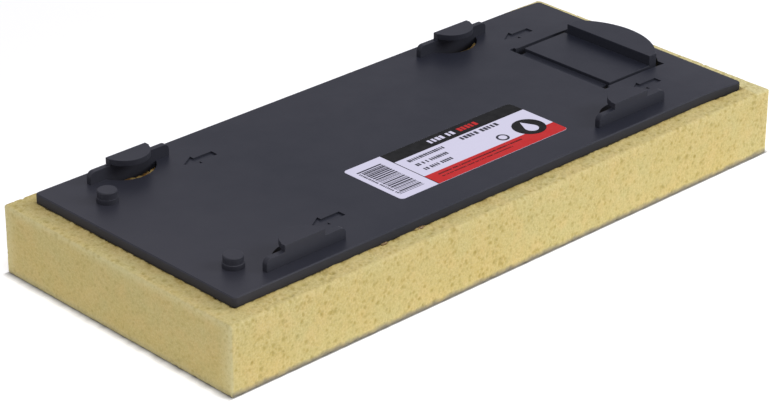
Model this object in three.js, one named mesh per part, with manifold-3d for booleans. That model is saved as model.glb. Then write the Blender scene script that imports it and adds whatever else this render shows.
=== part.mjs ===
// Sponge pad of a grout cleaning float. A foam block is bonded to a moulded back plate, and the
// plate has four hooks, two pegs and a sprung latch that hold it on the float's handle.
// Units are millimetres. X runs along the pad towards the latch, Y across it, Z up.

import * as THREE from 'three';
import { mergeVertices } from 'three/addons/utils/BufferGeometryUtils.js';
import Module from 'manifold-3d';

const wasm = await Module();
wasm.setup();

// ---- driving dimensions ------------------------------------------------------------------

const SPONGE = { length: 360, width: 161, height: 35.5, corner: 1.6, edge: 0.8 };

const GLUE = { thickness: 1, inset: 1.2 };

const PLATE = { length: 339, width: 141.5, height: 5.3, corner: 2.2, chamfer: 0.5 };

// Hooks stand in facing pairs. Their lips hang over windows that the mould's cores leave.
const HOOK = {
  wallThickness: 3,
  halfLength: 23.8,
  shoulder: 6.3,
  shoulderRadius: 3,
  lipRadius: 12,
  lipTop: 9.7,
  lipThickness: 3,
  windowRadius: 16.8,
  windowOffset: 0.8,
};

// Centre of each hook's wall and of its lip, the wall's outer face and the inner rim of its window.
const HOOKS = {
  front_left: { x: -119.8, lipX: -120.7, outerY: -62.8, rimY: -47.4 },
  rear_left: { x: -121.8, lipX: -122.1, outerY: 61.8, rimY: 49.6 },
  front_right: { x: 97, lipX: 96.1, outerY: -61.8, rimY: -45.9 },
  rear_right: { x: 92.9, lipX: 93.3, outerY: 61.8, rimY: 49.6 },
};

const PEG = { x: -150, radius: 4.8, height: 6, stepRadius: 5.2, stepHeight: 2.4, chamfer: 0.4 };
const PEG_YS = { front: -47.7, rear: 40.9 };

// Moulded arrows point at the end where the handle slides on.
const ARROW = { length: 19.2, headLength: 8, headWidth: 9.6, shaftWidth: 4.6, depth: 0.8 };
const ARROW_PLACES = [[-89.4, -42.7], [-90.3, 46.1], [128.2, -42.5], [127.2, 46.1]];

// The latch's widths are measured to each side of its own centre line.
const LATCH = {
  centreY: 1.3,
  grooveX: 109.8,
  webX: 112.3,
  tongueX: 117,
  catchX: 147.4,
  openingEndX: 156,
  grooveHalfWidth: 33.5,
  openingHalfWidth: 32,
  halfWidth: 29.7,
  webHalfWidth: 28,
  catchMinY: -28,
  catchMaxY: 29.3,
  thickness: 3,
  webThickness: 1,
  catchThickness: 2.5,
  catchHeight: 5.2,
  padThickness: 2,
  padTipX: 166.2,
  padRadius: 39.5,
  padCentreY: 2.2,
  padClearance: 1.4,
  ribThickness: 2,
  ribEndX: 152.8,
  reliefDepth: 4.5,
};

const LABEL = { minX: -50.5, maxX: 61.9, minY: -51.7, maxY: -11.5, corner: 2.2, thickness: 0.15 };

const ARC_SEGMENTS = 10;

// ---- heights worked out from the stack -----------------------------------------------------

const glueZ = SPONGE.height;
const plateZ = glueZ + GLUE.thickness;
const topZ = plateZ + PLATE.height;
const tongueZ = topZ - LATCH.thickness;

// ---- outlines and solids -------------------------------------------------------------------

function roundedRectangle(minX, maxX, minY, maxY, radius) {
  const shape = new THREE.Shape();
  shape.moveTo(minX + radius, minY);
  shape.absarc(maxX - radius, minY + radius, radius, -Math.PI / 2, 0);
  shape.absarc(maxX - radius, maxY - radius, radius, 0, Math.PI / 2);
  shape.absarc(minX + radius, maxY - radius, radius, Math.PI / 2, Math.PI);
  shape.absarc(minX + radius, minY + radius, radius, Math.PI, Math.PI * 1.5);
  return shape;
}

function centredRectangle(length, width, radius) {
  return roundedRectangle(-length / 2, length / 2, -width / 2, width / 2, radius);
}

function polygon(points) {
  return new THREE.Shape(points.map(([x, y]) => new THREE.Vector2(x, y)));
}

function rectangle(minX, maxX, minY, maxY) {
  return polygon([[minX, minY], [maxX, minY], [maxX, maxY], [minX, maxY]]);
}

function acrossLatch(fromX, toX, halfWidth) {
  return rectangle(fromX, toX, LATCH.centreY - halfWidth, LATCH.centreY + halfWidth);
}

// A flat outline raised from one height to another, with both rims chamfered if asked.
function raised(shape, fromZ, toZ, chamfer = 0) {
  const geometry = new THREE.ExtrudeGeometry(shape, {
    depth: toZ - fromZ - 2 * chamfer,
    bevelEnabled: chamfer > 0,
    bevelThickness: chamfer,
    bevelSize: chamfer,
    bevelOffset: -chamfer,
    bevelSegments: 1,
    curveSegments: ARC_SEGMENTS,
  });
  return geometry.translate(0, 0, fromZ + chamfer);
}

// An outline drawn in X and Z and carried along Y.
function carriedAcross(shape, fromY, toY) {
  const geometry = raised(shape, 0, toY - fromY);
  return geometry.rotateX(Math.PI / 2).translate(0, toY, 0);
}

function toSolid(geometry) {
  geometry.deleteAttribute('normal');
  geometry.deleteAttribute('uv');
  const merged = mergeVertices(geometry);
  return new wasm.Manifold(new wasm.Mesh({
    numProp: 3,
    vertProperties: new Float32Array(merged.attributes.position.array),
    triVerts: new Uint32Array(merged.index.array),
  }));
}

function toGeometry(solid) {
  const mesh = solid.getMesh();
  const geometry = new THREE.BufferGeometry();
  geometry.setAttribute('position', new THREE.BufferAttribute(new Float32Array(mesh.vertProperties), 3));
  geometry.setIndex(new THREE.BufferAttribute(new Uint32Array(mesh.triVerts), 1));
  geometry.computeVertexNormals();
  return geometry;
}

function joined(...geometries) {
  return toGeometry(geometries.map(toSolid).reduce((whole, piece) => whole.add(piece)));
}

function cut(body, tools) {
  return toGeometry(tools.map(toSolid).reduce((rest, tool) => rest.subtract(tool), toSolid(body)));
}

// ---- the openings that several pieces share --------------------------------------------------

// Thumb pad outline: straight along the catch, an arc on the free side.
function padShape(grow) {
  const radius = LATCH.padRadius + grow;
  const centreX = LATCH.padTipX - LATCH.padRadius;
  const fromY = LATCH.catchMinY - grow;
  const toY = LATCH.catchMaxY + grow;
  const fromAngle = Math.asin((fromY - LATCH.padCentreY) / radius);
  const toAngle = Math.asin((toY - LATCH.padCentreY) / radius);
  const shape = new THREE.Shape();
  shape.moveTo(LATCH.catchX, toY);
  shape.lineTo(LATCH.catchX, fromY);
  shape.absarc(centreX, LATCH.padCentreY, radius, fromAngle, toAngle);
  return shape;
}

// The slits, the catch and the thumb pad share one opening through the plate.
function latchOpening(fromX, fromZ, toZ) {
  return [
    raised(acrossLatch(fromX, LATCH.openingEndX, LATCH.openingHalfWidth), fromZ, toZ),
    raised(padShape(LATCH.padClearance), fromZ, toZ),
  ];
}

// The groove wall on the plate's side slopes down to the hinge web, a little past the slits.
function grooveSlope() {
  const webTop = tongueZ + LATCH.webThickness;
  const wedge = polygon([
    [LATCH.grooveX, topZ],
    [LATCH.webX, webTop],
    [LATCH.webX + 1, webTop],
    [LATCH.webX + 1, topZ + 1],
    [LATCH.grooveX, topZ + 1],
  ]);
  const half = LATCH.grooveHalfWidth;
  return carriedAcross(wedge, LATCH.centreY - half, LATCH.centreY + half);
}

function hookWindow({ lipX, outerY, rimY }, fromZ, toZ) {
  const side = Math.sign(outerY);
  const radius = HOOK.windowRadius;
  const centreY = rimY + side * radius;
  const innerY = outerY - side * HOOK.wallThickness;
  const sweep = Math.acos(side * (centreY - innerY) / radius);
  const middle = -side * Math.PI / 2;
  const shape = new THREE.Shape();
  shape.absarc(lipX + HOOK.windowOffset, centreY, radius, middle - sweep, middle + sweep);
  return raised(shape, fromZ, toZ);
}

function arrowRecess(x, y) {
  const tip = x - ARROW.length / 2;
  const neck = tip + ARROW.headLength;
  const tail = x + ARROW.length / 2;
  const head = ARROW.headWidth / 2;
  const shaft = ARROW.shaftWidth / 2;
  const outline = polygon([
    [tip, y],
    [neck, y - head],
    [neck, y - shaft],
    [tail, y - shaft],
    [tail, y + shaft],
    [neck, y + shaft],
    [neck, y + head],
  ]);
  return raised(outline, topZ - ARROW.depth, topZ + 1);
}

// ---- the pieces ------------------------------------------------------------------------------

function spongeBlock() {
  const outline = centredRectangle(SPONGE.length, SPONGE.width, SPONGE.corner);
  const block = raised(outline, 0, SPONGE.height, SPONGE.edge);
  return cut(block, latchOpening(LATCH.webX, SPONGE.height - LATCH.reliefDepth, SPONGE.height + 1));
}

function adhesiveLayer() {
  const length = PLATE.length - 2 * GLUE.inset;
  const width = PLATE.width - 2 * GLUE.inset;
  const sheet = raised(centredRectangle(length, width, PLATE.corner - GLUE.inset), glueZ, plateZ);
  return cut(sheet, latchOpening(LATCH.webX, glueZ - 1, plateZ + 1));
}

function backPlate() {
  const outline = centredRectangle(PLATE.length, PLATE.width, PLATE.corner);
  const openings = latchOpening(LATCH.webX, plateZ - 1, topZ + 1);
  const windows = Object.values(HOOKS).map((place) => hookWindow(place, plateZ - 1, topZ + 1));
  const arrows = ARROW_PLACES.map(([x, y]) => arrowRecess(x, y));
  const tools = [...openings, grooveSlope(), ...windows, ...arrows];
  return cut(raised(outline, plateZ, topZ, PLATE.chamfer), tools);
}

// The wall's outline seen from outside: a raised middle that carries the lip, round shoulders.
function hookWallShape(x, lipX) {
  const { halfLength, shoulder, shoulderRadius, lipRadius, lipTop } = HOOK;
  const roundZ = topZ + shoulder - shoulderRadius;
  const shape = new THREE.Shape();
  shape.moveTo(x - halfLength, topZ);
  shape.lineTo(x + halfLength, topZ);
  shape.absarc(x + halfLength - shoulderRadius, roundZ, shoulderRadius, 0, Math.PI / 2);
  shape.lineTo(lipX + lipRadius, topZ + shoulder);
  shape.lineTo(lipX + lipRadius, topZ + lipTop);
  shape.lineTo(lipX - lipRadius, topZ + lipTop);
  shape.lineTo(lipX - lipRadius, topZ + shoulder);
  shape.absarc(x - halfLength + shoulderRadius, roundZ, shoulderRadius, Math.PI / 2, Math.PI);
  return shape;
}

function hook({ x, lipX, outerY }) {
  const side = Math.sign(outerY);
  const edges = [outerY, outerY - side * HOOK.wallThickness];
  const wall = carriedAcross(hookWallShape(x, lipX), Math.min(...edges), Math.max(...edges));
  const lip = new THREE.Shape();
  const start = side > 0 ? Math.PI : 0;
  lip.absarc(lipX, outerY, HOOK.lipRadius, start, start + Math.PI);
  return joined(wall, raised(lip, topZ + HOOK.lipTop - HOOK.lipThickness, topZ + HOOK.lipTop));
}

function peg(y) {
  const { radius, height, stepRadius, stepHeight, chamfer } = PEG;
  const profile = [
    [0, 0],
    [stepRadius, 0],
    [stepRadius, stepHeight],
    [radius, stepHeight],
    [radius, height - chamfer],
    [radius - chamfer, height],
    [0, height],
  ].map(([r, z]) => new THREE.Vector2(r, z));
  return new THREE.LatheGeometry(profile, 2 * ARC_SEGMENTS).rotateX(Math.PI / 2).translate(PEG.x, y, topZ);
}

function livingHinge() {
  const shape = acrossLatch(LATCH.webX, LATCH.tongueX, LATCH.webHalfWidth);
  return raised(shape, tongueZ, tongueZ + LATCH.webThickness);
}

function latchTongue() {
  return raised(acrossLatch(LATCH.tongueX, LATCH.catchX, LATCH.halfWidth), tongueZ, topZ);
}

// A rib under each end of the thumb pad, level with the end of the catch wall.
function endRib(fromY) {
  const outline = rectangle(LATCH.catchX, LATCH.ribEndX, fromY, fromY + LATCH.ribThickness);
  return raised(outline, tongueZ, topZ + LATCH.catchHeight);
}

function latchCatch() {
  const wallEnd = LATCH.catchX + LATCH.catchThickness;
  const catchTop = topZ + LATCH.catchHeight;
  const wall = raised(rectangle(LATCH.catchX, wallEnd, LATCH.catchMinY, LATCH.catchMaxY), tongueZ, catchTop);
  const pad = raised(padShape(0), catchTop - LATCH.padThickness, catchTop);
  return joined(wall, pad, endRib(LATCH.catchMinY), endRib(LATCH.catchMaxY - LATCH.ribThickness));
}

function labelSticker() {
  const shape = roundedRectangle(LABEL.minX, LABEL.maxX, LABEL.minY, LABEL.maxY, LABEL.corner);
  return raised(shape, topZ, topZ + LABEL.thickness);
}

// ---- materials and assembly --------------------------------------------------------------------

const plastic = () => new THREE.MeshStandardMaterial({ color: 0x3b3c44, roughness: 0.5, metalness: 0 });
const foam = new THREE.MeshStandardMaterial({ color: 0xd9c583, roughness: 1, metalness: 0 });
const glue = new THREE.MeshStandardMaterial({ color: 0xa8761f, roughness: 0.45, metalness: 0 });
const paper = new THREE.MeshStandardMaterial({ color: 0xdcdae6, roughness: 0.35, metalness: 0 });

const group = new THREE.Group();

function place(name, geometry, material) {
  const mesh = new THREE.Mesh(geometry, material);
  mesh.name = name;
  group.add(mesh);
}

place('sponge_block', spongeBlock(), foam);
place('adhesive_layer', adhesiveLayer(), glue);
place('back_plate', backPlate(), plastic());
for (const [corner, position] of Object.entries(HOOKS)) {
  place(`hook_${corner}`, hook(position), plastic());
}
for (const [row, y] of Object.entries(PEG_YS)) {
  place(`peg_${row}`, peg(y), plastic());
}
place('living_hinge', livingHinge(), plastic());
place('latch_tongue', latchTongue(), plastic());
place('latch_catch', latchCatch(), plastic());
place('label_sticker', labelSticker(), paper);

export default group;
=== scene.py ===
"""Sponge pad of a grout cleaning float: the looks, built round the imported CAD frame.

Lengths are in metres, in the frame of the CAD model: X along the pad towards the latch,
Y across it, Z up, with the foam's working face on the floor.
"""

import math
import random

import bmesh
import bpy
import numpy as np
from mathutils import Matrix, Vector, noise


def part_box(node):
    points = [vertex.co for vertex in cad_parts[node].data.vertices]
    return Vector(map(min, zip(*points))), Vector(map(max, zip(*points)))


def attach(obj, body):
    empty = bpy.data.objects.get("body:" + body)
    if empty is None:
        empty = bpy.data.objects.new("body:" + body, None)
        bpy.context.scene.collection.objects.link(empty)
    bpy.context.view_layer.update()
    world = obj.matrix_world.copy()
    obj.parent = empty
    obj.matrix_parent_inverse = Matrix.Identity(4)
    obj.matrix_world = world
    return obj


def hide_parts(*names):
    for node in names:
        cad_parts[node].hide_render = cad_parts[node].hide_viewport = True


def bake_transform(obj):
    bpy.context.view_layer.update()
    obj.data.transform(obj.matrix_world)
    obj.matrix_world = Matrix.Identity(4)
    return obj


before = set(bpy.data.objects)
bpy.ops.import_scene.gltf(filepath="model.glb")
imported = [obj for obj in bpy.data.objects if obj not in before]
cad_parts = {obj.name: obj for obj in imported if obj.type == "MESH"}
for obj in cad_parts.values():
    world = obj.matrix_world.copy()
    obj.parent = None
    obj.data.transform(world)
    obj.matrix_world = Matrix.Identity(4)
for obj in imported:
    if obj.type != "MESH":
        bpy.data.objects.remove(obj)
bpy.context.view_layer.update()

MM = 0.001

random.seed(7)


# ---- places taken from the frame ------------------------------------------------------------

SPONGE_LOW, SPONGE_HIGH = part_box("sponge_block")
PLATE_LOW, PLATE_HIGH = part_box("back_plate")
LABEL_LOW, LABEL_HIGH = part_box("label_sticker")
HINGE_LOW, HINGE_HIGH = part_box("living_hinge")
TONGUE_LOW, TONGUE_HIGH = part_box("latch_tongue")
CATCH_LOW, CATCH_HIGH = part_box("latch_catch")

HOOKS = ["hook_front_left", "hook_rear_left", "hook_front_right", "hook_rear_right"]
PEGS = ["peg_front", "peg_rear"]


# ---- material nodes -------------------------------------------------------------------------

class Nodes:
    """A material's node tree, with short calls to add and join nodes."""

    def __init__(self, name):
        self.material = bpy.data.materials.new(name)
        self.material.use_nodes = True
        self.tree = self.material.node_tree
        self.shader = self.tree.nodes["Principled BSDF"]

    def add(self, kind, settings=None, **inputs):
        node = self.tree.nodes.new(kind)
        for key, value in (settings or {}).items():
            setattr(node, key, value)
        for key, value in inputs.items():
            self.feed(node.inputs[key.replace("_", " ")], value)
        return node

    def feed(self, socket, value):
        if isinstance(value, bpy.types.NodeSocket):
            self.tree.links.new(value, socket)
        else:
            socket.default_value = value

    def math(self, operation, first, second=0.0):
        node = self.add("ShaderNodeMath", {"operation": operation})
        self.feed(node.inputs[0], first)
        self.feed(node.inputs[1], second)
        return node.outputs[0]

    def mix(self, factor, first, second):
        node = self.add("ShaderNodeMix", {"data_type": "RGBA"})
        self.feed(node.inputs[0], factor)
        self.feed(node.inputs[6], first)
        self.feed(node.inputs[7], second)
        return node.outputs[2]

    def span(self, value, low, high, to_low=0.0, to_high=1.0):
        """value from low to high, mapped to 0 to 1 or to the range given."""
        node = self.add("ShaderNodeMapRange")
        for socket, number in zip(node.inputs[:5], (value, low, high, to_low, to_high)):
            self.feed(socket, number)
        return node.outputs[0]

    def place(self):
        return self.add("ShaderNodeTexCoord").outputs["Object"]

    def noise(self, scale, detail=3.0, stretch=None, roughness=0.5):
        place = self.place()
        if stretch:
            mapping = self.add("ShaderNodeMapping", Vector=place, Scale=stretch)
            place = mapping.outputs[0]
        node = self.add(
            "ShaderNodeTexNoise", Vector=place, Scale=scale, Detail=detail, Roughness=roughness
        )
        return node.outputs["Fac"]

    def cells(self, scale):
        return self.add("ShaderNodeTexVoronoi", Vector=self.place(), Scale=scale).outputs[0]

    def attribute(self, name):
        return self.add("ShaderNodeAttribute", {"attribute_name": name}).outputs["Fac"]

    def axes(self, vector=None):
        """The three parts of a vector, or of the place in the model when none is given."""
        source = self.place() if vector is None else vector
        return self.add("ShaderNodeSeparateXYZ", Vector=source).outputs

    def facing(self):
        """The three parts of the surface's normal in the scene."""
        return self.axes(self.add("ShaderNodeNewGeometry").outputs["Normal"])

    def bump(self, height, strength, distance):
        node = self.add("ShaderNodeBump", Strength=strength, Distance=distance, Height=height)
        self.feed(self.shader.inputs["Normal"], node.outputs[0])

    def surface(self, **inputs):
        for key, value in inputs.items():
            self.feed(self.shader.inputs[key.replace("_", " ")], value)
        return self.material


# ---- camera and light -----------------------------------------------------------------------

CAMERA_TURN, CAMERA_TILT, CAMERA_ROLL = math.radians(-43.70), math.radians(26.60), math.radians(0.133)
CAMERA_LENS = 134.434
CAMERA_AIM = Vector((-28.588, -18.167, 21.176)) * MM
CAMERA_DISTANCE = 1.37728


def add_camera():
    """Long lens from the front left, looking down on the pad's back."""
    turn, tilt, roll = CAMERA_TURN, CAMERA_TILT, CAMERA_ROLL
    away = Vector((math.sin(turn) * math.cos(tilt), -math.cos(turn) * math.cos(tilt), math.sin(tilt)))
    level = Vector((math.cos(turn), math.sin(turn), 0))
    upright = away.cross(level)
    right = level * math.cos(roll) + upright * math.sin(roll)
    up = upright * math.cos(roll) - level * math.sin(roll)
    data = bpy.data.cameras.new("camera")
    data.sensor_width = 36
    data.lens = CAMERA_LENS
    camera = bpy.data.objects.new("camera", data)
    axes = Matrix((right, up, away)).transposed().to_4x4()
    camera.matrix_world = Matrix.Translation(CAMERA_AIM + away * CAMERA_DISTANCE) @ axes
    bpy.context.scene.collection.objects.link(camera)
    bpy.context.scene.camera = camera


def add_light(name, place, aim, size, power, colour=(1, 1, 1)):
    data = bpy.data.lights.new(name, "AREA")
    data.shape = "RECTANGLE"
    data.size, data.size_y = size
    data.energy = power
    data.color = colour
    lamp = bpy.data.objects.new(name, data)
    lamp.location = place
    lamp.rotation_euler = (Vector(aim) - Vector(place)).to_track_quat("-Z", "Y").to_euler()
    bpy.context.scene.collection.objects.link(lamp)


def add_studio():
    """An even pale surround, which the satin plastic mirrors, and two soft lights for the foam."""
    world = bpy.data.worlds.new("studio")
    bpy.context.scene.world = world
    world.use_nodes = True
    background = world.node_tree.nodes["Background"]
    background.inputs["Color"].default_value = (0.95, 0.94, 1.05, 1)
    background.inputs["Strength"].default_value = 0.44
    add_light("overhead", (-0.35, -0.45, 2.0), (0, 0, 0), (1.4, 1.1), 18)
    add_light("front_soft", (1.43, -1.42, 1.15), (0, 0, 0.02), (0.9, 0.8), 21.8, (1, 1.01, 1.06))
    bpy.context.scene.view_settings.view_transform = "Standard"


def floor_material():
    """A white sweep with a faint glow that fades outwards, and a painted contact shadow: a thin dark
    band at the foam's foot, where the glow also drops away.

    The painted shadow is wider beside the foam's ends, which stand in shade, than along its sides.
    """
    n = Nodes("floor_white")
    axes = n.axes()
    outside, narrowed = [], []
    for axis, reach, squeeze in ((axes[0], SPONGE_HIGH.x, 0.37), (axes[1], SPONGE_HIGH.y, 1.6)):
        beyond = n.math("MAXIMUM", n.math("SUBTRACT", n.math("ABSOLUTE", axis), reach), 0.0)
        outside.append(n.math("POWER", beyond, 2.0))
        narrowed.append(n.math("POWER", n.math("MULTIPLY", beyond, squeeze), 2.0))
    distance = n.math("SQRT", n.math("ADD", *outside))
    line = n.math("SQRT", n.math("ADD", *narrowed))
    ragged = n.span(n.noise(150, 3), 0.3, 0.7, -0.18 * MM, 0.18 * MM)
    # painted contact shadow mask: 0 at the foam's foot, rising to 1 a millimetre or so out
    foot = n.span(n.math("ADD", line, ragged), -0.1 * MM, 1.5 * MM)
    halo = n.span(distance, 2 * MM, 90 * MM, 0.45, 0.2)
    glow = n.math("MULTIPLY", halo, foot)
    # painted contact shadow colour: dark grey at the foam's foot, white beyond
    shade = n.mix(foot, (0.42, 0.41, 0.38, 1), (0.9, 0.9, 0.9, 1))
    return n.surface(
        Base_Color=shade, Roughness=0.9, Emission_Color=(1, 1, 1, 1), Emission_Strength=glow
    )


def add_floor():
    half = 6
    mesh = bpy.data.meshes.new("floor")
    corners = [(-half, -half, 0), (half, -half, 0), (half, half, 0), (-half, half, 0)]
    mesh.from_pydata(corners, [], [(0, 1, 2, 3)])
    mesh.materials.append(floor_material())
    floor = bpy.data.objects.new("floor", mesh)
    bpy.context.scene.collection.objects.link(floor)


# ---- materials ------------------------------------------------------------------------------

def foam_material():
    """Cut open-cell foam: fine cells and larger pores from the mesh, both darkened with painted
    shade; paler cut edges with a painted highlight on edges, corners and top; glue stains with
    painted shade by the plate; a painted shadow at the foot.
    """
    n = Nodes("foam")
    pore, rim, stain_and_shade = n.attribute("pore"), n.attribute("rim"), n.attribute("stain_and_shade")
    patches = n.span(n.noise(30, 4, roughness=0.6), 0.36, 0.64)
    colour = n.mix(patches, (0.572, 0.453, 0.168, 1), (0.552, 0.472, 0.196, 1))
    warm = n.span(n.noise(85, 3), 0.45, 0.68, 0, 0.6)
    colour = n.mix(warm, colour, (0.630, 0.475, 0.190, 1))
    # paler cut edges, plus painted highlight on the edges, end corners and top ledge
    colour = n.mix(n.math("MULTIPLY", rim, 0.6), colour, (0.70, 0.64, 0.34, 1))
    cells = n.cells(720)
    # painted shade in the fine pits, where the cell relief dips
    pit_shade = n.span(cells, 0.12, 0.45, 0.26, 0)
    colour = n.mix(pit_shade, colour, (0.36, 0.27, 0.075, 1))
    grain = n.noise(1100, 2)
    colour = n.mix(n.span(grain, 0.42, 0.7, 0, 0.4), colour, (0.72, 0.62, 0.33, 1))
    facing = n.facing()
    at_end = n.span(n.math("ABSOLUTE", facing[0]), 0.4, 0.9, 1, 0.6)
    specks = n.math("MULTIPLY", n.span(n.cells(260), 0.12, 0.34, 0.5, 0), at_end)
    colour = n.mix(specks, colour, (0.38, 0.28, 0.065, 1))
    # painted shade in the mesh's pores, darker the deeper they are
    colour = n.mix(n.math("MULTIPLY", pore, 0.6), colour, (0.33, 0.26, 0.06, 1))
    # glue and grime, plus painted shade against the plate's foot
    colour = n.mix(n.math("MULTIPLY", stain_and_shade, 0.85), colour, (0.30, 0.21, 0.055, 1))
    # painted shadow along the foam's foot by the floor, stronger on the long sides
    frayed = n.span(n.noise(220, 3), 0.3, 0.7, -0.5 * MM, 0.7 * MM)
    foam_foot_shade = n.span(n.math("ADD", n.axes()[2], frayed), 1.2 * MM, 3.5 * MM, 0.85, 0)
    along_side = n.span(n.math("ABSOLUTE", facing[1]), 0.3, 0.8, 0.25, 1)
    colour = n.mix(n.math("MULTIPLY", foam_foot_shade, along_side), colour, (0.19, 0.18, 0.15, 1))
    relief = n.math("SUBTRACT", n.math("MULTIPLY", cells, 0.6), n.math("MULTIPLY", grain, 0.25))
    n.bump(relief, 0.7, 0.6 * MM)
    return n.surface(Base_Color=colour, Roughness=0.95, Specular_IOR_Level=0.12)


def plastic_material():
    """Near-black moulded plastic: satin on top, duller on its walls, with painted shade along its
    foot beside the foam.

    The end with the pegs is painted a little paler, as a soft gradient of light.
    """
    n = Nodes("moulded_plastic")
    flow = n.span(n.noise(9, 4, stretch=(0.5, 1.4, 1)), 0.35, 0.65)
    colour = n.mix(flow, (0.0150, 0.0170, 0.0265, 1), (0.0180, 0.0195, 0.0290, 1))
    dust = n.span(n.noise(420, 2), 0.70, 0.80, 0, 0.12)
    colour = n.mix(dust, colour, (0.09, 0.09, 0.10, 1))
    axes = n.axes()
    # painted light: paler towards the peg end, fading out over 95 mm
    painted_end_light = n.span(axes[0], PLATE_LOW.x, PLATE_LOW.x + 95 * MM, 0.5, 0)
    colour = n.mix(painted_end_light, colour, (0.044, 0.043, 0.052, 1))
    # painted shade: darker over the lowest 3 mm, where the plate sits over the foam
    plate_foot_shade = n.span(axes[2], PLATE_LOW.z, PLATE_LOW.z + 3.0 * MM, 0.6, 0)
    colour = n.mix(plate_foot_shade, colour, (0.007, 0.006, 0.004, 1))
    dull = n.span(n.facing()[2], 0.75, 0.97, 0.3, 0)
    roughness = n.math("ADD", n.span(n.noise(60, 4), 0.3, 0.7, 0.34, 0.42), dull)
    n.bump(n.noise(2600, 2), 0.10, 0.2 * MM)
    return n.surface(Base_Color=colour, Roughness=roughness, Specular_IOR_Level=0.4)


def glue_material():
    """Amber contact glue that has soaked into the foam in places."""
    n = Nodes("glue")
    soak = n.span(n.noise(240, 4), 0.42, 0.62)
    colour = n.mix(soak, (0.15, 0.075, 0.012, 1), (0.34, 0.25, 0.075, 1))
    n.bump(n.noise(500, 3), 0.5, 0.6 * MM)
    return n.surface(Base_Color=colour, Roughness=n.span(soak, 0, 1, 0.3, 0.75))


def ink_material(name, colour, wear=0.06):
    """Printed film: a flat ink with a slight mottle and a soft sheen."""
    n = Nodes(name)
    mottle = n.span(n.noise(300, 3), 0.3, 0.7, 0, wear)
    pale = [0.75 * part + 0.15 for part in colour]
    shade = n.mix(mottle, (*colour, 1), (*pale, 1))
    n.bump(n.noise(900, 2), 0.05, 0.2 * MM)
    return n.surface(Base_Color=shade, Roughness=0.6, Specular_IOR_Level=0.1)


# ---- mesh helpers ---------------------------------------------------------------------------

def link(name, mesh, material, smooth_angle=None):
    if not mesh.materials:
        mesh.materials.append(material)
    piece = bpy.data.objects.new(name, mesh)
    bpy.context.scene.collection.objects.link(piece)
    if smooth_angle is not None:
        mesh.shade_smooth()
        mesh.set_sharp_from_angle(angle=math.radians(smooth_angle))
    return piece


def keep(piece, body, slot, *nodes):
    """The piece rides on a body and stands for the CAD nodes named; its slot is not used."""
    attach(piece, body)
    if nodes:
        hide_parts(*nodes)
    return piece


def bake(piece):
    """Applies the piece's modifiers to its mesh."""
    depsgraph = bpy.context.evaluated_depsgraph_get()
    shaped = bpy.data.meshes.new_from_object(piece.evaluated_get(depsgraph))
    piece.modifiers.clear()
    piece.data = shaped


# ---- moulded plastic ------------------------------------------------------------------------

SHARP_ANGLE = math.radians(28)
DROOP_START, DROOP_LENGTH = 138 * MM, 31.5 * MM
DROOP_CUTS, DROOP_CUT_STEP = 8, 4 * MM


def clean_mesh(node):
    """The CAD node's surface with its flat faces whole again, ready for rounded edges."""
    bm = bmesh.new()
    bm.from_mesh(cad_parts[node].data)
    bmesh.ops.remove_doubles(bm, verts=bm.verts, dist=0.005 * MM)
    bmesh.ops.dissolve_limit(bm, angle_limit=math.radians(1), verts=bm.verts, edges=bm.edges)
    return bm


def round_edges(bm, width, seat_z=None):
    """Rounds every sharp edge except those that lie in the seat plane, where two pieces meet."""
    sharp = []
    for edge in bm.edges:
        seated = seat_z is not None and all(abs(v.co.z - seat_z) < 0.01 * MM for v in edge.verts)
        if len(edge.link_faces) == 2 and edge.calc_face_angle(0) > SHARP_ANGLE and not seated:
            sharp.append(edge)
    bmesh.ops.bevel(
        bm, geom=sharp, offset=width, offset_type="OFFSET", segments=3, profile=0.5,
        affect="EDGES", clamp_overlap=True,
    )


def plate_droop(x, y):
    """How far the plate's latch end hangs below flat, most at its front corner."""
    reach = np.clip((x - DROOP_START) / DROOP_LENGTH, 0, 1)
    return (1.45 - 0.45 * y / PLATE_HIGH.y) * MM * reach ** 1.6


def droop_end(bm):
    """Cuts the plate's latch end into strips and bends it down."""
    for i in range(DROOP_CUTS):
        everything = bm.verts[:] + bm.edges[:] + bm.faces[:]
        cut = (DROOP_START + 2 * MM + DROOP_CUT_STEP * i, 0, 0)
        bmesh.ops.bisect_plane(bm, geom=everything, plane_co=cut, plane_no=(1, 0, 0), dist=1e-6)
    for vertex in bm.verts:
        vertex.co.z -= plate_droop(vertex.co.x, vertex.co.y)


def moulded(node, body, material, width, seat_z=None, shape=None):
    """A moulded piece from its CAD node, with edges rounded to the width given."""
    bm = clean_mesh(node)
    round_edges(bm, width, seat_z)
    if shape:
        shape(bm)
    mesh = bpy.data.meshes.new("moulded_" + node)
    bm.to_mesh(mesh)
    bm.free()
    piece = link("moulded_" + node, mesh, material, 40)
    piece.modifiers.new("flats", "WEIGHTED_NORMAL").keep_sharp = True
    bake(piece)
    return keep(piece, body, "moulding", node)


def build_moulding():
    plastic = plastic_material()
    top = PLATE_HIGH.z
    moulded("back_plate", "pad", plastic, 0.35 * MM, shape=droop_end)
    for node in HOOKS + PEGS:
        moulded(node, "pad", plastic, 0.45 * MM, seat_z=top)
    moulded("latch_tongue", "latch", plastic, 0.3 * MM)
    moulded("latch_catch", "latch", plastic, 0.45 * MM)
    build_hinge(plastic)


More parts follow.
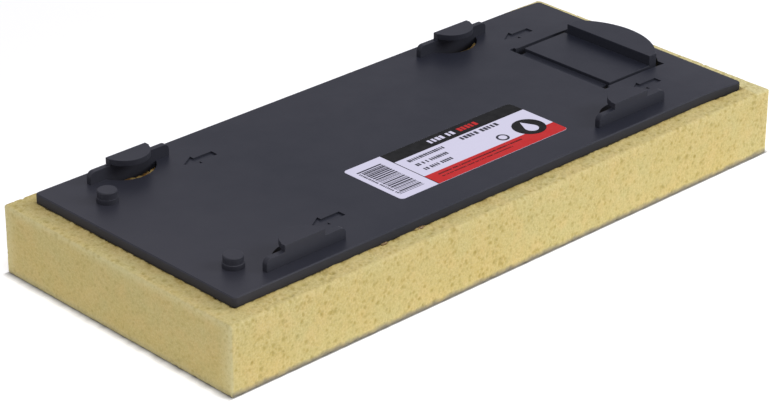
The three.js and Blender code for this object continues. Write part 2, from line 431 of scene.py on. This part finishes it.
def build_hinge(plastic):
    """The thin web that bends between the plate and the tongue, thicker where it meets them."""
    steps = 12
    root = 0.35 * MM
    length = HINGE_HIGH.x - HINGE_LOW.x
    profile = []
    for i in range(steps + 1):
        t = i / steps
        rise = root * (abs(2 * t - 1) ** 3)
        profile.append((HINGE_LOW.x + t * length, HINGE_HIGH.z + rise))
    profile += [(x, HINGE_LOW.z) for x, _ in reversed(profile)]
    count = len(profile)
    vertices = [(x, y, z) for y in (HINGE_LOW.y, HINGE_HIGH.y) for x, z in profile]
    faces = [(i, (i + 1) % count, (i + 1) % count + count, i + count) for i in range(count)]
    faces += [tuple(range(count))[::-1], tuple(range(count, 2 * count))]
    mesh = bpy.data.meshes.new("hinge_web")
    mesh.from_pydata(vertices, [], faces)
    piece = link("hinge_web", mesh, plastic, 40)
    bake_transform(piece)
    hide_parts("living_hinge")


# ---- foam -----------------------------------------------------------------------------------

def lattice_skin(counts):
    """Vertices and quads over the six sides of a box of grid cells, in whole steps."""
    nx, ny, nz = counts
    index = -np.ones((nx + 1, ny + 1, nz + 1), int)
    shell = np.zeros_like(index, bool)
    shell[[0, -1], :, :] = True
    shell[:, [0, -1], :] = True
    shell[:, :, [0, -1]] = True
    index[shell] = np.arange(shell.sum())
    quads = []
    for axis in range(3):
        for side in (0, -1):
            plane = np.take(index, side, axis=axis)
            a, b, c, d = plane[:-1, :-1], plane[1:, :-1], plane[1:, 1:], plane[:-1, 1:]
            outward = (side == -1) != (axis == 1)
            loop = (a, b, c, d) if outward else (d, c, b, a)
            quads.append(np.stack([part.ravel() for part in loop], 1))
    return np.argwhere(shell), np.concatenate(quads)


def pore_depth(point):
    """How far the surface is pitted at a point, from 0 to 1, by three sizes of pore."""
    depth = 0
    for size, reach, weight in ((5.2, 0.30, 1.0), (3.3, 0.34, 0.7), (2.4, 0.36, 0.5)):
        spot = Vector(point) * (1 / (size * MM)) + Vector((size, 3 * size, 7 * size))
        distance = noise.voronoi(spot)[0][0]
        wide = reach * (0.60 + 0.9 * abs(noise.noise(spot * 0.31)))
        if distance < wide:
            depth = max(depth, weight * (1 - (distance / wide) ** 2))
    return depth


GRID_STEP = 0.75 * MM
EDGE_RADIUS = 0.9 * MM
POCKET_DEPTH = 4.5 * MM
TONGUE_GAP = 2.3 * MM
PAD_GAP = 1.4 * MM
PAD_RADIUS = 39.5 * MM
PAD_CENTRE_Y = 2.2 * MM
OPENING_PAST_CATCH = 8.6 * MM


def build_sponge():
    """The foam block as a fine grid, pitted with pores and raised round the plate's foot."""
    low, high = np.array(SPONGE_LOW), np.array(SPONGE_HIGH)
    counts = np.round((high - low) / GRID_STEP).astype(int)
    grid, quads = lattice_skin(counts)
    flat = low + grid * (high - low) / counts
    inner = np.clip(flat, low + EDGE_RADIUS, high - EDGE_RADIUS)
    normal = flat - inner
    normal /= np.linalg.norm(normal, axis=1)[:, None]
    place = inner + normal * EDGE_RADIUS

    pores = np.array([pore_depth(p) for p in place])
    swell = np.array([noise.noise(Vector(p) * 60) for p in place])
    fine = np.array([noise.noise(Vector(p) * 620) for p in place])
    facing = np.abs(normal)
    rough = 0.30 + 0.40 * facing[:, 1] + 0.70 * np.clip(normal[:, 2], 0, 1)
    sunk = (0.60 * pores + 0.16 * swell + 0.09 * fine - 0.35) * MM * rough
    on_floor = grid[:, 2] == 0
    sunk[on_floor] = 0.5 * MM * pores[on_floor]
    place = place - normal * sunk[:, None]
    place[:, 2] += seat_rise(place)

    # rim: paler cut edges, plus painted highlight where light catches the end faces near the corners
    # and on the top ledge, fullest beyond the plate's latch end
    inward = np.minimum(flat - low, high - flat)
    near = np.sort(inward, axis=1)[:, 1]
    rim = np.clip(1 - near / (5.5 * MM), 0, 1) ** 1.5 * (0.3 + 0.8 * facing[:, 0])
    corner = np.clip(1 - inward[:, 1] / (10 * MM), 0, 1) ** 1.5
    rim = np.maximum(rim, 1.25 * corner * (facing[:, 0] > 0.5))
    on_top = grid[:, 2] == counts[2]
    rim[on_top] = np.maximum(rim[on_top], 0.2)
    rim[on_top & (place[:, 0] > PLATE_HIGH.x + 1.5 * MM)] = 1.2

    mesh = bpy.data.meshes.new("sponge")
    mesh.from_pydata(place.tolist(), [], quads.tolist())
    # how much painted shade each pore gets, less on the ends
    pore_shade_amount = pores * (1 - 0.45 * facing[:, 0])
    for name, values in (("pore", pore_shade_amount), ("rim", rim), ("stain_and_shade", glue_stain_and_shade(place))):
        attribute = mesh.attributes.new(name, "FLOAT", "POINT")
        attribute.data.foreach_set("value", values.astype(np.float32))
    mesh.shade_smooth()
    piece = link("sponge", mesh, foam_material())
    return keep(piece, "pad", "foam", "sponge_block")


def beyond_plate(place):
    """Distance outside the plate's outline, negative under the plate."""
    beyond_x = np.abs(place[:, 0]) - PLATE_HIGH.x
    beyond_y = np.abs(place[:, 1]) - PLATE_HIGH.y
    return np.maximum(beyond_x, beyond_y)


def seat_rise(place):
    """The foam bulges round the plate's foot, and is pressed down under its hanging end."""
    beyond = beyond_plate(place)
    lump = np.array([noise.noise(Vector(p) * 260) for p in place])
    bulge = np.exp(-(beyond / (1.6 * MM)) ** 2) * (0.75 + 0.5 * lump) * MM
    bulge[beyond < -0.8 * MM] = 0
    pressed = plate_droop(place[:, 0], place[:, 1]) * np.clip(1 - beyond / (0.9 * MM), 0, 1)
    on_top = place[:, 2] > SPONGE_HIGH.z - 1.2 * MM
    return np.where(on_top, bulge - pressed - latch_pocket(place), 0)


def latch_pocket(place):
    """The foam is cut away under the latch, which leaves it room to bend down."""
    x, y = place[:, 0], place[:, 1]
    under_tongue = (x > HINGE_LOW.x) & (x < CATCH_LOW.x + OPENING_PAST_CATCH)
    under_tongue &= (y > TONGUE_LOW.y - TONGUE_GAP) & (y < TONGUE_HIGH.y + TONGUE_GAP)
    from_centre = np.hypot(x - (CATCH_HIGH.x - PAD_RADIUS), y - PAD_CENTRE_Y)
    under_pad = (x > CATCH_LOW.x) & (from_centre < PAD_RADIUS + PAD_GAP)
    under_pad &= (y > CATCH_LOW.y - PAD_GAP) & (y < CATCH_HIGH.y + PAD_GAP)
    return np.where(under_tongue | under_pad, POCKET_DEPTH, 0)


def glue_stain_and_shade(place):
    """Where glue and grime darken the foam beside the plate, with a painted shade close against the
    plate's foot, from 0 to 1.
    """
    beyond = beyond_plate(place)
    broad = np.array([noise.noise(Vector(p) * 170) for p in place])
    fine = np.array([noise.noise(Vector(p) * 900) for p in place])
    reach = np.clip(1 - beyond / (4 * MM), 0, 1)
    on_top = place[:, 2] > SPONGE_HIGH.z - 1.2 * MM
    soaked = reach * np.clip(0.35 + 1.3 * (broad + 0.5 * fine), 0, 1)
    # painted shade: the foam darker close against the plate's foot
    shaded = 0.5 * np.clip(1 - beyond / (3.6 * MM), 0, 1) ** 1.5
    return np.where(on_top, np.maximum(soaked, shaded), 0)


# ---- label ----------------------------------------------------------------------------------

INK_RISE = 0.03 * MM


def prism(bm, outline, low, high, slot):
    """A thin solid over an outline given counter-clockwise from above."""
    bottom = [bm.verts.new((x, y, low)) for x, y in outline]
    top = [bm.verts.new((x, y, high)) for x, y in outline]
    faces = [bm.faces.new(bottom[::-1]), bm.faces.new(top)]
    for i in range(len(outline)):
        j = (i + 1) % len(outline)
        faces.append(bm.faces.new((bottom[i], bottom[j], top[j], top[i])))
    for face in faces:
        face.material_index = slot


def rounded(x0, x1, y0, y1, radii=(0, 0, 0, 0)):
    """Corners of a rectangle, each rounded by its own radius, from lower left counter-clockwise."""
    steps = 6
    points = []
    corners = ((x0, y0, 1, 1, 180), (x1, y0, -1, 1, 270), (x1, y1, -1, -1, 0), (x0, y1, 1, -1, 90))
    for (x, y, dx, dy, start), radius in zip(corners, radii):
        if radius == 0:
            points.append((x, y))
            continue
        for i in range(steps + 1):
            angle = math.radians(start + 90 * i / steps)
            across = x + radius * (dx + math.cos(angle))
            points.append((across, y + radius * (dy + math.sin(angle))))
    return points


def disc(x, y, radius):
    steps = 32
    turn = 2 * math.pi / steps
    return [(x + radius * math.cos(i * turn), y + radius * math.sin(i * turn)) for i in range(steps)]


def drop(x, y, radius, height):
    """A round foot drawn up to a point."""
    steps = 24
    half = math.acos(radius / height)
    start = math.pi / 2 + half
    sweep = 2 * (math.pi - half)
    points = [(x, y + height)]
    for i in range(steps + 1):
        angle = start + sweep * i / steps
        points.append((x + radius * math.cos(angle), y + radius * math.sin(angle)))
    return points


BLACK, RED, WHITE, GREY = range(4)


def label_shapes():
    """The print as outlines in millimetres from the label's lower left corner, with their inks.

    Plain blocks stand where the real label has words, and a drop in a disc stands for its marks.
    """
    width = (LABEL_HIGH.x - LABEL_LOW.x) / MM
    height = (LABEL_HIGH.y - LABEL_LOW.y) / MM
    corner = 2.2
    split = 24.0
    red_top = 10.2
    black_low = height - 9.6
    shapes = [
        (rounded(split + 0.5, width - 0.05, black_low, height - 0.05, (0, 0, corner, 0)), BLACK, 1),
        (rounded(split + 0.5, width - 0.05, 0.05, red_top, (0, corner, 0, 0)), RED, 1),
        (rounded(split, split + 0.5, 0.05, height - 0.05), BLACK, 1),
    ]
    shapes += barcode(5.0, 19.0, 4.5, height - 5.5)
    shapes += words(3.0, 4.2, 6.0, height - 6.5, 1.2, GREY, upright=True)
    shapes += words(52, 71, black_low + 3.0, black_low + 6.6, 2.6, WHITE, layer=2)
    shapes += words(72, 86, black_low + 3.0, black_low + 6.6, 2.6, RED, layer=2)
    for row in range(3):
        base = black_low - 5.0 - 5.6 * row
        shapes += words(30, 54 - 2 * row, base, base + 2.5, 1.5, GREY)
    shapes += words(66, 92, black_low - 4.6, black_low - 1.4, 2.4, GREY)
    shapes += words(31, 88, red_top - 3.4, red_top - 2.4, 0.9, BLACK, layer=2)
    shapes += words(31, 80, red_top - 6.0, red_top - 5.2, 0.8, BLACK, layer=2)
    shapes += [
        (disc(82, red_top + 4.6, 3.4), GREY, 1),
        (disc(82, red_top + 4.6, 2.2), WHITE, 2),
        (disc(100, red_top + 4.4, 8.6), BLACK, 3),
        (drop(100, red_top + 2.6, 3.6, 8.0), WHITE, 4),
    ]
    return shapes


def barcode(x0, x1, y0, y1):
    """Generic bars of random widths, stacked along the short side of the label."""
    bars = []
    y = y0
    draw = random.Random(3)
    while y < y1:
        bar = draw.choice((0.35, 0.35, 0.7, 1.05))
        guard = 1.6 if y < y0 + 1.5 or y > y1 - 1.5 else 0
        bars.append((rounded(x0 - guard, x1, y, min(y + bar, y1)), GREY, 1))
        y += bar + draw.choice((0.35, 0.5, 0.7))
    return bars


def words(x0, x1, y0, y1, letter, ink, upright=False, layer=1):
    """A row of blocks, each one letter wide, that reads as print without being any lettering."""
    draw = random.Random(int(1000 * (x0 + y0)))
    blocks = []
    start, end = (y0, y1) if upright else (x0, x1)
    at = start
    while at + letter <= end:
        wide = letter * draw.uniform(0.55, 0.8)
        if upright:
            blocks.append((rounded(x0, x1, at, at + wide), ink, layer))
        else:
            blocks.append((rounded(at, at + wide, y0, y1), ink, layer))
        at += letter * (1.7 if draw.random() < 0.16 else 1)
    return blocks


PAPER = (0.68, 0.66, 0.79)


def build_label():
    """The sticker's film, and the print as thin solids on top of it."""
    inks = [
        ink_material("ink_black", (0.012, 0.012, 0.012)),
        ink_material("ink_red", (0.54, 0.026, 0.026)),
        ink_material("ink_white", PAPER),
        ink_material("ink_grey", (0.045, 0.045, 0.06)),
    ]
    base = clean_mesh("label_sticker")
    mesh = bpy.data.meshes.new("label_film")
    base.to_mesh(mesh)
    base.free()
    film = link("label_film", mesh, ink_material("label_paper", PAPER, 0.1))
    keep(film, "pad", "label", "label_sticker")

    bm = bmesh.new()
    for outline, ink, layer in label_shapes():
        points = [(LABEL_LOW.x + x * MM, LABEL_LOW.y + y * MM) for x, y in outline]
        prism(bm, points, LABEL_HIGH.z - INK_RISE, LABEL_HIGH.z + layer * INK_RISE, ink)
    mesh = bpy.data.meshes.new("label_print")
    bm.to_mesh(mesh)
    bm.free()
    for ink in inks:
        mesh.materials.append(ink)
    keep(link("label_print", mesh, inks[0]), "pad", "label")


# ---- glue -----------------------------------------------------------------------------------

WINDOW_RADIUS = 16.8 * MM
WINDOW_OFFSET = 0.8 * MM
WINDOW_INSET = 12.2 * MM


def bead(name, path, radius, glue):
    """A lumpy run of squeezed-out glue along a path, thin at both ends."""
    sides = 10
    vertices = []
    for i, point in enumerate(path):
        along = (path[min(i + 1, len(path) - 1)] - path[max(i - 1, 0)]).normalized()
        across = along.cross(Vector((0, 0, 1)))
        taper = math.sin(math.pi * (i + 0.5) / len(path)) ** 0.5
        size = radius * taper * (1 + 0.55 * noise.noise(point * 420))
        for k in range(sides):
            angle = 2 * math.pi * k / sides
            outward = across * math.cos(angle) + Vector((0, 0, math.sin(angle)))
            vertices.append(point + outward * size)
    faces = [tuple(range(sides))[::-1], tuple(range(len(vertices) - sides, len(vertices)))]
    for i in range(0, len(vertices) - sides, sides):
        for k in range(sides):
            j = (k + 1) % sides
            faces.append((i + k, i + j, i + sides + j, i + sides + k))
    mesh = bpy.data.meshes.new(name)
    mesh.from_pydata(vertices, [], faces)
    mesh.validate()
    bm = bmesh.new()
    bm.from_mesh(mesh)
    bmesh.ops.recalc_face_normals(bm, faces=bm.faces)
    bm.to_mesh(mesh)
    bm.free()
    return keep(link(name, mesh, glue, 80), "pad", "adhesive")


def window_rim(hook, first, last, inset, height):
    """Points just inside the near rim of the window under a rear hook, by angle in degrees."""
    low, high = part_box(hook)
    centre_x = (low.x + high.x) / 2 + WINDOW_OFFSET
    centre = Vector((centre_x, high.y - WINDOW_INSET + WINDOW_RADIUS, height))
    steps = 24
    path = []
    for i in range(steps + 1):
        angle = math.radians(first + (last - first) * i / steps)
        path.append(centre + Vector((math.cos(angle), math.sin(angle), 0)) * (WINDOW_RADIUS - inset))
    return path


def build_glue():
    """Colours the layer under the plate and adds the beads that have squeezed out of it."""
    glue = glue_material()
    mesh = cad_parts["adhesive_layer"].data
    mesh.materials.clear()
    mesh.materials.append(glue)
    high = PLATE_HIGH.z - 1.9 * MM
    runs = [
        ("rear_left", "hook_rear_left", -112, -42, 1.3 * MM, high, 1.5 * MM),
        ("rear_left_inner", "hook_rear_left", -128, -55, 3.6 * MM, high - 0.9 * MM, 1.5 * MM),
        ("rear_right", "hook_rear_right", -95, -40, 1.0 * MM, high, 1.1 * MM),
    ]
    for name, hook, first, last, inset, height, radius in runs:
        bead("glue_bead_" + name, window_rim(hook, first, last, inset, height), radius, glue)
    steps = 6
    for i, (start, length) in enumerate(((-82, 4), (-61, 7))):
        foot = []
        for k in range(steps + 1):
            along = (start + length * k / steps) * MM
            foot.append(Vector((along, PLATE_LOW.y + 0.1 * MM, PLATE_LOW.z)))
        bead(f"glue_bead_front_{i + 1}", foot, 1.0 * MM, glue)


add_camera()
add_studio()
add_floor()
build_sponge()
build_moulding()
build_label()
build_glue()
